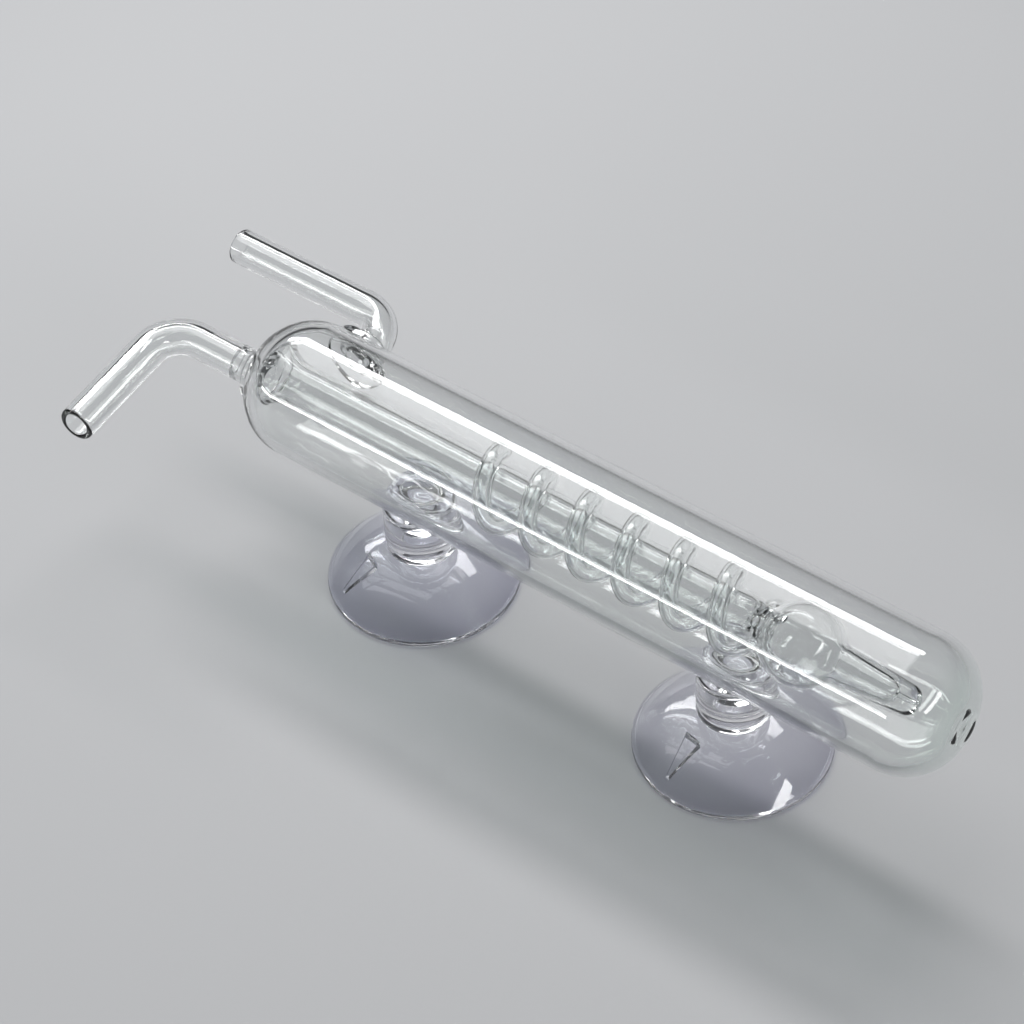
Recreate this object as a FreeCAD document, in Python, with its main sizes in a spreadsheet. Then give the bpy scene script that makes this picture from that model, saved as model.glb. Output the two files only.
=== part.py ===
import FreeCAD, Part
import os
from math import cos, pi, radians, sin

import Sketcher
from FreeCAD import Placement, Rotation, Vector

# Glass spiral diffuser on two suction cups. Millimetres, Z up, the tube along X,
# origin under the middle of the whole outline, on the surface the cups stand on.

doc = FreeCAD.newDocument("spiral_diffuser")

# ---------------------------------------------------------------- driving dimensions
sizes = [
    ("chamberRadius", 12.5, "big tube, outside radius"),
    ("chamberWall", 1.5, "big tube, wall"),
    ("axisHeight", 33.3, "big tube's axis above the glass pane"),
    ("shoulderX", 56.9, "where the port end starts to round, from the middle of the cups"),
    ("shoulderDepth", 11.1, "length of the rounded port end"),
    ("shoulderThick", 2.0, "glass at the port end"),
    ("domeX", 67.4, "where the far dome starts, from the middle of the cups"),
    ("domeDepth", 10.4, "length of the far dome"),
    ("domeArc", 10.5, "radius of the dome's profile"),
    ("domeFlat", 3.5, "radius of the gathered disc at the dome's pole"),
    ("domeDimple", 0.5, "depth of the hollow in that disc"),
    ("domeThick", 2.2, "glass at the dome's pole"),
    ("portRadius", 3.3, "hose tails, outside radius"),
    ("portBore", 2.2, "hose tails, bore radius"),
    ("portLip", 0.45, "fire-polished rim of a hose tail"),
    ("endPortForward", 1.0, "end hose tail, offset to the front of the axis"),
    ("endPortDrop", 0.8, "end hose tail, offset below the axis"),
    ("endPortStub", 16.0, "end hose tail, straight stretch before the bend"),
    ("endPortBend", 6.3, "end hose tail, bend radius"),
    ("endPortAngle", 96.0, "end hose tail, bend angle"),
    ("endPortLeg", 22.1, "end hose tail, straight stretch after the bend"),
    ("sidePortX", 55.2, "side hose tail's foot, from the middle of the cups"),
    ("sidePortReach", 22.3, "side hose tail, from the tube's axis to its own"),
    ("sidePortBend", 7.6, "side hose tail, bend radius"),
    ("sidePortLeg", 29.3, "side hose tail, straight stretch after the bend"),
    ("weldFoot", 5.0, "foot radius of a hose tail's weld flare"),
    ("weldRoot", 1.4, "how far the flare's foot sinks into the tube's curve"),
    ("weldReach", 2.6, "how far the flare runs along the hose tail"),
    ("weldHollow", 5.0, "radius of a flare's hollow profile"),
    ("weldEdge", 0.15, "glass at the thin end of a flare"),
    ("drillMargin", 2.0, "how far a drill runs past the wall on each side"),
    ("innerRadius", 4.0, "inner tube, outside radius"),
    ("innerBore", 3.0, "inner tube, bore radius"),
    ("sealFoot", 6.4, "ring seal, outside radius where it meets the port end"),
    ("sealWall", 1.2, "ring seal, wall at its foot"),
    ("sealLength", 6.5, "ring seal, length"),
    ("sealHollow", 12.0, "radius of the ring seal's trumpet profile"),
    ("innerEndX", 38.4, "inner tube's closed end, from the middle of the cups"),
    ("innerEndRound", 2.9, "length of the rounded end"),
    ("innerEndArc", 3.55, "radius of the rounded end's profile"),
    ("innerEndThick", 1.0, "glass at the closed end"),
    ("waistRadius", 2.5, "neck between the inner tube and the bulb"),
    ("waistBore", 1.0, "bore of that neck"),
    ("bulbX", 46.7, "bulb's centre, from the middle of the cups"),
    ("bulbRadius", 7.35, "bulb, outside radius"),
    ("bulbWall", 0.8, "bulb, wall"),
    ("windowReach", 5.85, "flat reading window, from the bulb's centre"),
    ("windowTilt", 37.0, "the window leans this far to the front"),
    ("nozzleRoot", 3.5, "nozzle, radius where it leaves the bulb"),
    ("nozzleTip", 2.6, "nozzle, radius before its rounded tip"),
    ("nozzleWall", 0.9, "nozzle, wall"),
    ("nozzleEndX", 69.0, "nozzle's tip, from the middle of the cups"),
    ("nozzleRound", 2.1, "nozzle, radius of the rounded tip"),
    ("nozzleSolid", 3.6, "solid glass at the nozzle's tip"),
    ("cavityTaper", 2.0, "length over which the nozzle's bore closes"),
    ("cavityEnd", 0.9, "radius of the nozzle's bore where it meets the capillary"),
    ("orifice", 0.3, "capillary orifice radius"),
    ("coilMean", 5.85, "spiral tube, radius of its centreline"),
    ("coilTube", 1.65, "spiral tube, outside radius"),
    ("coilBore", 1.0, "spiral tube, bore radius"),
    ("coilPitch", 9.6, "spiral tube, advance for one turn"),
    ("coilTopX", 16.2, "first loop's crest, from the middle of the cups"),
    ("coilLead", 50.0, "degrees of coil before the first crest"),
    ("coilTurns", 5.5, "turns from the first crest to the turned-in end"),
    ("coilStep", 20.0, "degrees between the points of the spiral's centreline"),
    ("tailRadius", 4.2, "the spiral's centreline where it meets the neck"),
    ("tailTurn", 80.0, "degrees over which the spiral turns in"),
    ("beadRadius", 2.2, "fused bead where the spiral meets the neck"),
    ("cupSpacing", 67.2, "between the two suction cups"),
    ("pegRadius", 3.3, "glass peg, radius"),
    ("pegEnd", 13.6, "glass peg's rounded end above the pane"),
    ("pegRound", 1.6, "rounding of the peg's end"),
    ("pegWeldFoot", 5.0, "foot radius of a peg's weld on the tube"),
    ("pegWeldReach", 1.2, "how far that weld runs down the peg"),
    ("cupClearance", 0.05, "running clearance of a peg in a cup"),
    ("cupRadius", 17.5, "suction cup, lip radius"),
    ("lipWidth", 1.3, "flat of the lip"),
    ("lipThick", 0.7, "lip's edge"),
    ("cupShoulder", 9.1, "height of the cup's cone"),
    ("coneArc", 35.0, "radius of the cone's slightly domed profile"),
    ("hollowTop", 6.4, "height of the hollow under the cup"),
    ("hollowArc", 21.0, "radius of that hollow's profile"),
    ("ringRadius", 6.4, "lower ring of the neck"),
    ("ringTop", 10.5, "top of the lower ring"),
    ("grooveRadius", 6.0, "groove between the rings"),
    ("grooveTop", 11.1, "top of the groove"),
    ("neckRadius", 6.6, "neck, radius"),
    ("neckTop", 18.8, "top of the neck above the pane"),
    ("neckRound", 0.9, "rounding of the neck's top"),
    ("socketFloor", 12.9, "bottom of the neck's socket"),
    ("tabIn", 9.6, "peel tab, from the cup's axis to its broad end"),
    ("tabOut", 15.6, "peel tab, from the cup's axis to its thin end"),
    ("tabBroad", 3.2, "peel tab, width at its broad end"),
    ("tabThin", 0.6, "peel tab, width at its thin end"),
    ("tabTop", 4.3, "peel tab, height above the pane"),
    ("portEndTab", -118.0, "peel tab's direction on the port end cup, from X"),
    ("nozzleEndTab", -101.0, "peel tab's direction on the nozzle end cup, from X"),
]

sheet = doc.addObject("Spreadsheet::Sheet", "dims")
for row, (alias, value, note) in enumerate(sizes, start=1):
    sheet.set(f"A{row}", note)
    sheet.set(f"B{row}", str(value))
    sheet.setAlias(f"B{row}", alias)
doc.recompute()

# The outline reaches furthest at the side tail's mouth, the dome, the end tail's mouth
# and the side tail's back; its middle is the origin.
leftEdge = "(dims.sidePortX + dims.sidePortBend + dims.sidePortLeg)"
rightEdge = "(dims.domeX + dims.domeDepth)"
frontEdge = (
    "(dims.endPortForward + dims.endPortBend + dims.endPortLeg * sin(dims.endPortAngle * 1deg)"
    " - dims.endPortBend * cos(dims.endPortAngle * 1deg)"
    " - dims.portRadius * cos(dims.endPortAngle * 1deg))"
)
backEdge = "(dims.sidePortReach + dims.portRadius)"
middleX = f"({rightEdge} - {leftEdge}) / 2"
middleY = f"({backEdge} - {frontEdge}) / 2"


# ---------------------------------------------------------------- helpers
def amount(expression):
    """Number that a sheet expression gives now."""
    result = sheet.evalExpression(expression)
    return getattr(result, "Value", result)


def place(piece, x="0", y="0", z="0", axis=Vector(1, 0, 0), turn=None):
    """Bind a piece's place, given from the middle of the cups on the pane, to the sheet."""
    piece.Placement = Placement(Vector(), Rotation(axis, 0))
    piece.setExpression("Placement.Base.x", f"{x} - ({middleX})")
    piece.setExpression("Placement.Base.y", f"{y} - ({middleY})")
    piece.setExpression("Placement.Base.z", z)
    if turn is not None:
        piece.Placement = Placement(Vector(), Rotation(axis, amount(turn)))
        piece.setExpression("Placement.Rotation.Angle", turn)


def newBody(label):
    body = doc.addObject("PartDesign::Body", label)
    body.Label = label
    return body


def originPlane(body, role):
    return next(plane for plane in body.Origin.OriginFeatures if plane.Role == role)


def newSketch(body, name, role):
    sketch = body.newObject("Sketcher::SketchObject", name)
    sketch.AttachmentSupport = (originPlane(body, role), [""])
    sketch.MapMode = "FlatFace"
    return sketch


def drive(sketch, constraint, expression):
    """Add a dimension and bind it to the sheet."""
    index = sketch.addConstraint(constraint)
    sketch.setExpression(f"Constraints[{index}]", expression)


def pin(sketch, geometry, end, x, y):
    """Hold one end of a line or arc at sheet-driven coordinates."""
    for kind, expression in (("DistanceX", x), ("DistanceY", y)):
        drive(sketch, Sketcher.Constraint(kind, -1, 1, geometry, end, amount(expression)), expression)


def arcBetween(start, end, radius, bulge):
    """Arc of the given radius; it bows to the left of start-end when bulge is 1."""
    chord = end - start
    half = chord.Length / 2
    side = Vector(-chord.y, chord.x, 0).normalize() * bulge
    sagitta = radius - (radius ** 2 - half ** 2) ** 0.5 if radius > half else radius
    return Part.Arc(start, (start + end) / 2 + side * sagitta, end)


def outline(sketch, corners):
    """Closed outline through corners (x, y[, arc radius, bulge]), every corner driven by the sheet."""
    points = [Vector(amount(corner[0]), amount(corner[1]), 0) for corner in corners]
    count = len(corners)
    for index, corner in enumerate(corners):
        start, end = points[index], points[(index + 1) % count]
        if len(corner) == 4:
            sketch.addGeometry(arcBetween(start, end, amount(corner[2]), corner[3]))
        else:
            sketch.addGeometry(Part.LineSegment(start, end))
    for index, corner in enumerate(corners):
        following = (index + 1) % count
        leaves = 1
        arrives = 2
        if len(corner) == 4 and corner[3] == 1:
            leaves, arrives = 2, 1
        nextLeaves = 2 if len(corners[following]) == 4 and corners[following][3] == 1 else 1
        pin(sketch, index, leaves, corner[0], corner[1])
        sketch.addConstraint(Sketcher.Constraint("Coincident", index, arrives, following, nextLeaves))
        if len(corner) == 4:
            drive(sketch, Sketcher.Constraint("Radius", index, amount(corner[2])), corner[2])


def turned(label, role, corners, around):
    """Body turned about the sketch's H or V axis."""
    body = newBody(label)
    profile = newSketch(body, f"{label}_profile", role)
    outline(profile, corners)
    turn = body.newObject("PartDesign::Revolution", f"{label}_turn")
    turn.Profile = profile
    turn.ReferenceAxis = (profile, [around])
    turn.Angle = 360
    profile.Visibility = False
    body.Tip = turn
    return body


def cylinder(name, radius, length, x="0", y="0", z="0", axis=Vector(0, 0, 1), turn=0):
    """Plain cylinder bound to the sheet, for cutting bores."""
    rod = doc.addObject("Part::Cylinder", name)
    rod.setExpression("Radius", radius)
    rod.setExpression("Height", length)
    rod.Placement = Placement(Vector(), Rotation(axis, turn))
    for key, expression in (("x", x), ("y", y), ("z", z)):
        rod.setExpression(f"Placement.Base.{key}", expression)
    return rod


def cut(label, base, tool):
    piece = doc.addObject("Part::Cut", label)
    piece.Base = base
    piece.Tool = tool
    piece.Label = label
    return piece


alongX = dict(axis=Vector(0, 1, 0), turn=90)
alongY = dict(axis=Vector(1, 0, 0), turn=-90)


# ---------------------------------------------------------------- outer chamber
portEnd = "(-dims.shoulderX - dims.shoulderDepth)"
portEndInside = "(-dims.shoulderX - dims.shoulderDepth + dims.shoulderThick)"
insideRadius = "(dims.chamberRadius - dims.chamberWall)"


def makeChamber():
    domeEnd = "(dims.domeX + dims.domeDepth)"
    insideDepth = "(dims.shoulderDepth - dims.shoulderThick)"
    shell = turned("chamber_shell", "XZ_Plane", [
        (portEnd, "0"),
        (portEnd, "dims.chamberRadius - dims.shoulderDepth", "dims.shoulderDepth", 1),
        ("-dims.shoulderX", "dims.chamberRadius"),
        ("dims.domeX", "dims.chamberRadius", "dims.domeArc", 1),
        (domeEnd, "dims.domeFlat"),
        (f"{domeEnd} - dims.domeDimple", "0"),
        (f"{domeEnd} - dims.domeThick", "0"),
        (f"{domeEnd} - dims.domeThick", "dims.domeFlat - dims.chamberWall",
         "dims.domeArc - dims.chamberWall", -1),
        ("dims.domeX", insideRadius),
        ("-dims.shoulderX", insideRadius, insideDepth, -1),
        (portEndInside, f"{insideRadius} - {insideDepth}"),
        (portEndInside, "0"),
    ], "H_Axis")
    endHole = cylinder("chamber_end_hole", "dims.portRadius",
                       "dims.shoulderThick + 2 * dims.drillMargin",
                       x=f"{portEnd} - dims.drillMargin",
                       y="-dims.endPortForward", z="-dims.endPortDrop", **alongX)
    sideHole = cylinder("chamber_side_hole", "dims.portRadius",
                        "dims.chamberWall + 2 * dims.drillMargin",
                        x="-dims.sidePortX", y=f"{insideRadius} - dims.drillMargin", **alongY)
    drilled = cut("chamber_drilled", shell, endHole)
    chamber = cut("outer_chamber", drilled, sideHole)
    place(chamber, z="dims.axisHeight")
    return chamber


# ---------------------------------------------------------------- hose tails
sameDistance = 1e-4  # two circles that share a centre


def rimEdges(shape):
    """Names of the two circles round the mouth that lies furthest from the foot."""
    circles = [(edge.Curve.Center.Length, index) for index, edge in enumerate(shape.Edges, start=1)
               if isinstance(edge.Curve, Part.Circle)]
    furthest = max(distance for distance, index in circles)
    return [f"Edge{index}" for distance, index in circles if furthest - distance < sameDistance]


def makeTail(label, sectionRole, draw):
    """Hollow bent tube along a flat route that starts at the body's origin."""
    body = newBody(label)
    route = newSketch(body, f"{label}_route", "XY_Plane")
    draw(route)
    section = newSketch(body, f"{label}_section", sectionRole)
    for radius in ("dims.portRadius", "dims.portBore"):
        ring = section.addGeometry(Part.Circle(Vector(), Vector(0, 0, 1), amount(radius)))
        section.addConstraint(Sketcher.Constraint("Coincident", ring, 3, -1, 1))
        drive(section, Sketcher.Constraint("Radius", ring, amount(radius)), radius)
    pipe = body.newObject("PartDesign::AdditivePipe", f"{label}_pipe")
    pipe.Profile = section
    pipe.Spine = (route, ["Edge1", "Edge2", "Edge3"])
    doc.recompute()
    rim = body.newObject("PartDesign::Fillet", f"{label}_rim")
    rim.Base = (pipe, rimEdges(pipe.Shape))
    rim.setExpression("Radius", "dims.portLip")
    body.Tip = rim
    return body


def bentRoute(sketch, start, centre, fromAngle, sweep, lengths, along):
    """Straight, arc, straight, each tangent to the last; lengths are the sheet's expressions."""
    straight, bend, leg = lengths
    finish = fromAngle + sweep
    turnEnd = centre + Vector(cos(finish), sin(finish), 0) * amount(bend)
    heading = Vector(-sin(finish), cos(finish), 0)
    sketch.addGeometry(Part.LineSegment(Vector(), start))
    circle = Part.Circle(centre, Vector(0, 0, 1), amount(bend))
    sketch.addGeometry(Part.ArcOfCircle(circle, fromAngle, finish))
    sketch.addGeometry(Part.LineSegment(turnEnd, turnEnd + heading * amount(leg)))
    sketch.addConstraint(Sketcher.Constraint("Coincident", 0, 1, -1, 1))
    sketch.addConstraint(Sketcher.Constraint(along, 0))
    sketch.addConstraint(Sketcher.Constraint("Tangent", 0, 2, 1, 1))
    sketch.addConstraint(Sketcher.Constraint("Tangent", 1, 2, 2, 1))
    drive(sketch, Sketcher.Constraint("Distance", 0, amount(straight)), straight)
    drive(sketch, Sketcher.Constraint("Radius", 1, amount(bend)), bend)
    drive(sketch, Sketcher.Constraint("Distance", 2, amount(leg)), leg)


def drawEndRoute(sketch):
    stub, bend = amount("dims.endPortStub"), amount("dims.endPortBend")
    sweep = radians(amount("dims.endPortAngle"))
    bentRoute(sketch, Vector(-stub, 0, 0), Vector(-stub, -bend, 0), pi / 2, sweep,
              ("dims.endPortStub", "dims.endPortBend", "dims.endPortLeg"), "Horizontal")
    drive(sketch, Sketcher.Constraint("Angle", 1, sweep), "dims.endPortAngle")


def drawSideRoute(sketch):
    rise = f"dims.sidePortReach - dims.sidePortBend - {insideRadius}"
    bend = amount("dims.sidePortBend")
    bentRoute(sketch, Vector(0, amount(rise), 0), Vector(-bend, amount(rise), 0), 0, pi / 2,
              (rise, "dims.sidePortBend", "dims.sidePortLeg"), "Vertical")
    sketch.addConstraint(Sketcher.Constraint("Horizontal", 2))


def makeTails():
    endTail = makeTail("end_port_tube", "YZ_Plane", drawEndRoute)
    place(endTail, x=portEndInside, y="-dims.endPortForward", z="dims.axisHeight - dims.endPortDrop")
    sideTail = makeTail("side_port_tube", "XZ_Plane", drawSideRoute)
    place(sideTail, x="-dims.sidePortX", y=insideRadius, z="dims.axisHeight")
    return [endTail, sideTail]


# ---------------------------------------------------------------- gathered glass at the joints
def makeWeld(label, chamber, foot, root, sink, reach, turn, axis, **where):
    """Flared ring round a tube, turned about Z, laid along the tube and cut to the chamber's curve."""
    ring = turned(f"{label}_ring", "XZ_Plane", [
        (root, f"-{sink}"),
        (foot, f"-{sink}"),
        (foot, "0", "dims.weldHollow", 1),
        (f"{root} + dims.weldEdge", reach),
        (root, reach),
    ], "V_Axis")
    place(ring, axis=axis, turn=turn, **where)
    return cut(label, ring, chamber)


def makeWelds(chamber):
    tail = ("dims.weldFoot", "dims.portRadius", "dims.weldRoot", "dims.weldReach")
    peg = ("dims.pegWeldFoot", "dims.pegRadius", "dims.weldRoot", "dims.pegWeldReach")
    tubeBottom = "dims.axisHeight - dims.chamberRadius"
    return [
        makeWeld("end_port_weld", chamber, *tail, turn="-90", axis=Vector(0, 1, 0), x=portEnd,
                 y="-dims.endPortForward", z="dims.axisHeight - dims.endPortDrop"),
        makeWeld("side_port_weld", chamber, *tail, turn="-90", axis=Vector(1, 0, 0),
                 x="-dims.sidePortX", y="dims.chamberRadius", z="dims.axisHeight"),
        makeWeld("port_end_peg_weld", chamber, *peg, turn="180", axis=Vector(1, 0, 0),
                 x="-dims.cupSpacing / 2", z=tubeBottom),
        makeWeld("nozzle_end_peg_weld", chamber, *peg, turn="180", axis=Vector(1, 0, 0),
                 x="dims.cupSpacing / 2", z=tubeBottom),
    ]


# ---------------------------------------------------------------- inner tube, neck and ring seal
innerStart = f"({portEndInside} + dims.sealLength)"
innerEnd = "dims.innerEndX"
bulbLeft = "(dims.bulbX - sqrt(dims.bulbRadius ^ 2 - dims.waistRadius ^ 2))"
bulbRight = "(dims.bulbX + sqrt(dims.bulbRadius ^ 2 - dims.nozzleRoot ^ 2))"


def makeRingSeal(chamber):
    trumpet = turned("ring_seal_trumpet", "XZ_Plane", [
        (portEndInside, "dims.sealFoot - dims.sealWall"),
        (portEndInside, "dims.sealFoot", "dims.sealHollow", -1),
        (innerStart, "dims.innerRadius"),
        (innerStart, "dims.innerBore", "dims.sealHollow + dims.sealWall", 1),
    ], "H_Axis")
    place(trumpet, z="dims.axisHeight")
    return cut("ring_seal", trumpet, chamber)


def makeInnerTube():
    inside = f"({innerEnd} - dims.innerEndThick)"
    close = "(dims.innerBore - dims.waistBore)"
    tube = turned("inner_tube", "XZ_Plane", [
        (innerStart, "dims.innerBore"),
        (innerStart, "dims.innerRadius"),
        (f"{innerEnd} - dims.innerEndRound", "dims.innerRadius", "dims.innerEndArc", 1),
        (innerEnd, "dims.waistRadius"),
        (innerEnd, "dims.waistBore"),
        (inside, "dims.waistBore", close, -1),
        (f"{inside} - {close}", "dims.innerBore"),
    ], "H_Axis")
    place(tube, z="dims.axisHeight")
    return tube


def makeNeck():
    neck = turned("waist_neck", "XZ_Plane", [
        (innerEnd, "dims.waistBore"),
        (innerEnd, "dims.waistRadius"),
        (bulbLeft, "dims.waistRadius"),
        (bulbLeft, "dims.waistBore"),
    ], "H_Axis")
    place(neck, z="dims.axisHeight")
    return neck


# ---------------------------------------------------------------- bulb with its pressed window
def pressedBall(name, radius, reach):
    """Ball with one side pressed flat, facing up."""
    ball = doc.addObject("Part::Sphere", f"{name}_ball")
    ball.setExpression("Radius", radius)
    press = cylinder(f"{name}_press", radius, f"{radius} + {reach}", z=f"-{radius}")
    pressed = doc.addObject("Part::Common", f"{name}_pressed")
    pressed.Base = ball
    pressed.Tool = press
    return pressed


def makeBulb():
    bulbInside = "(dims.bulbRadius - dims.bulbWall)"
    outside = pressedBall("bulb_outside", "dims.bulbRadius", "dims.windowReach")
    cavity = pressedBall("bulb_cavity", bulbInside, "(dims.windowReach - dims.bulbWall)")
    hollow = cut("bulb_hollow", outside, cavity)
    fromCentre = "- dims.bulbX"
    bores = [
        ("bulb_neck_seat", "dims.waistRadius", "dims.bulbRadius",
         f"{bulbLeft} {fromCentre} - dims.bulbRadius"),
        ("bulb_neck_bore", "dims.waistBore", "dims.bulbRadius", "-dims.bulbRadius"),
        ("bulb_nozzle_seat", "dims.nozzleRoot", "dims.bulbRadius", f"{bulbRight} {fromCentre}"),
        ("bulb_nozzle_bore", "dims.nozzleRoot - dims.nozzleWall", "dims.bulbRadius", "0"),
    ]
    for index, (name, radius, length, start) in enumerate(bores, start=1):
        bore = cylinder(name, radius, length, x=start, **alongX)
        label = "bulb" if index == len(bores) else f"bulb_cut_{index}"
        hollow = cut(label, hollow, bore)
    place(hollow, x="dims.bulbX", z="dims.axisHeight", turn="dims.windowTilt")
    return hollow


def makeNozzle():
    tipStart = "(dims.nozzleEndX - dims.nozzleRound)"
    cavityStop = "(dims.nozzleEndX - dims.nozzleSolid)"
    nozzle = turned("nozzle", "XZ_Plane", [
        (bulbRight, "dims.nozzleRoot - dims.nozzleWall"),
        (bulbRight, "dims.nozzleRoot"),
        (tipStart, "dims.nozzleTip", "dims.nozzleRound", 1),
        ("dims.nozzleEndX", "dims.nozzleTip - dims.nozzleRound"),
        ("dims.nozzleEndX", "dims.orifice"),
        (cavityStop, "dims.orifice"),
        (cavityStop, "dims.cavityEnd"),
        (f"{cavityStop} - dims.cavityTaper", "dims.nozzleTip - dims.nozzleWall"),
    ], "H_Axis")
    place(nozzle, z="dims.axisHeight")
    return nozzle


# ---------------------------------------------------------------- spiral tube
def coilPoint(degrees):
    """Centreline at an angle past the first crest: over the top to the front, and on to the dome."""
    pitch, mean = amount("dims.coilPitch"), amount("dims.coilMean")
    turnIn = amount("dims.coilTurns") * 360
    share = max(0.0, (degrees - turnIn) / amount("dims.tailTurn"))
    eased = share * share * (3 - 2 * share)
    radius = mean + (amount("dims.tailRadius") - mean) * eased
    along = -amount("dims.coilTopX") + pitch * degrees / 360
    return Vector(along, -radius * sin(radians(degrees)), radius * cos(radians(degrees)))


def coilPath():
    first = -amount("dims.coilLead")
    last = amount("dims.coilTurns") * 360 + amount("dims.tailTurn")
    count = round((last - first) / amount("dims.coilStep"))
    path = Part.BSplineCurve()
    path.interpolate([coilPoint(first + (last - first) * index / count) for index in range(count + 1)])
    return path


def sweptRound(path, radius):
    """Solid tube of round section along a path."""
    section = Part.Circle(path.value(path.FirstParameter), path.tangent(path.FirstParameter)[0], radius)
    return Part.Wire([path.toShape()]).makePipeShell([Part.Wire([section.toShape()])], True, False)


def makeSpiral():
    path = coilPath()
    spiral = doc.addObject("Part::Feature", "spiral_tube")
    spiral.Label = "spiral_tube"
    outside = sweptRound(path, amount("dims.coilTube"))
    spiral.Shape = outside.cut(sweptRound(path, amount("dims.coilBore")))
    place(spiral, z="dims.axisHeight")
    return spiral


def makeBead(neighbours):
    """Bead of glass that fuses the spiral's end to the neck."""
    spot = coilPoint(amount("dims.coilTurns") * 360 + amount("dims.tailTurn"))
    piece = doc.addObject("Part::Sphere", "spiral_weld_ball")
    piece.setExpression("Radius", "dims.beadRadius")
    place(piece, x=str(spot.x), y=str(spot.y), z=f"dims.axisHeight + {spot.z}")
    for index, neighbour in enumerate(neighbours, start=1):
        label = "spiral_weld" if index == len(neighbours) else f"spiral_weld_cut_{index}"
        piece = cut(label, piece, neighbour)
    return piece


# ---------------------------------------------------------------- pegs and suction cups
def makePeg(label, chamber, x):
    top = "(dims.axisHeight - dims.chamberRadius + dims.weldRoot)"
    rod = turned(f"{label}_rod", "XZ_Plane", [
        ("0", "dims.pegEnd"),
        ("dims.pegRadius - dims.pegRound", "dims.pegEnd", "dims.pegRound", -1),
        ("dims.pegRadius", "dims.pegEnd + dims.pegRound"),
        ("dims.pegRadius", top),
        ("0", top),
    ], "V_Axis")
    place(rod, x=x)
    return cut(label, rod, chamber)


def makeCup(label, x, tabDirection):
    """Moulded cup: turned outside, a peel tab, then the hollow turned out from below."""
    socket = "(dims.pegRadius + dims.cupClearance)"
    cup = turned(label, "XZ_Plane", [
        ("0", "0"),
        ("dims.cupRadius", "0"),
        ("dims.cupRadius", "dims.lipThick", "dims.coneArc", -1),
        ("dims.ringRadius", "dims.cupShoulder"),
        ("dims.ringRadius", "dims.ringTop"),
        ("dims.grooveRadius", "dims.ringTop"),
        ("dims.grooveRadius", "dims.grooveTop"),
        ("dims.neckRadius", "dims.grooveTop"),
        ("dims.neckRadius", "dims.neckTop - dims.neckRound", "dims.neckRound", -1),
        ("dims.neckRadius - dims.neckRound", "dims.neckTop"),
        (socket, "dims.neckTop"),
        (socket, "dims.socketFloor"),
        ("0", "dims.socketFloor"),
    ], "V_Axis")
    doc.recompute()
    tabPlan = newSketch(cup, f"{label}_tab_plan", "XY_Plane")
    outline(tabPlan, [
        ("dims.tabIn", "-dims.tabBroad / 2"),
        ("dims.tabOut", "-dims.tabThin / 2"),
        ("dims.tabOut", "dims.tabThin / 2"),
        ("dims.tabIn", "dims.tabBroad / 2"),
    ])
    tab = cup.newObject("PartDesign::Pad", f"{label}_tab")
    tab.Profile = tabPlan
    tab.setExpression("Length", "dims.tabTop")
    hollowPlan = newSketch(cup, f"{label}_hollow_plan", "XZ_Plane")
    outline(hollowPlan, [
        ("0", "0"),
        ("dims.cupRadius - dims.lipWidth", "0", "dims.hollowArc", -1),
        ("0", "dims.hollowTop"),
    ])
    hollow = cup.newObject("PartDesign::Groove", f"{label}_hollow")
    hollow.Profile = hollowPlan
    hollow.ReferenceAxis = (hollowPlan, ["V_Axis"])
    hollow.Angle = 360
    cup.Tip = hollow
    place(cup, x=x, axis=Vector(0, 0, 1), turn=tabDirection)
    return cup


# ---------------------------------------------------------------- assembly and export
chamber = makeChamber()
innerTube = makeInnerTube()
neck = makeNeck()
bulb = makeBulb()
spiral = makeSpiral()
pieces = [chamber, innerTube, neck, bulb, spiral, makeRingSeal(chamber), makeNozzle()]
pieces.append(makeBead([spiral, innerTube, neck, bulb]))
pieces += makeTails()
pieces += makeWelds(chamber)
portEndX, nozzleEndX = "-dims.cupSpacing / 2", "dims.cupSpacing / 2"
pieces.append(makePeg("port_end_peg", chamber, portEndX))
pieces.append(makePeg("nozzle_end_peg", chamber, nozzleEndX))
pieces.append(makeCup("port_end_suction_cup", portEndX, "dims.portEndTab"))
pieces.append(makeCup("nozzle_end_suction_cup", nozzleEndX, "dims.nozzleEndTab"))
doc.recompute()

for item in doc.Objects:
    if "Invalid" in item.State or "Error" in item.State:
        raise RuntimeError(f"{item.Name} did not compute: {item.State}")

os.makedirs("parts", exist_ok=True)
for piece in pieces:
    shape = piece.Shape
    if shape.isNull() or not shape.isValid():
        raise RuntimeError(f"{piece.Label} has no valid shape")
    shape.exportStep(f"parts/{piece.Label}.step")
    box = shape.BoundBox
    print(f"{piece.Label:24s} solids {len(shape.Solids)} volume {shape.Volume:9.1f} "
          f"x {box.XMin:7.2f} {box.XMax:7.2f} y {box.YMin:7.2f} {box.YMax:7.2f} "
          f"z {box.ZMin:6.2f} {box.ZMax:6.2f}")
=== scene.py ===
from math import asin, atan2, ceil, cos, exp, pi, radians, sin, sqrt

import bpy
from mathutils import Matrix, Vector, noise


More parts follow.
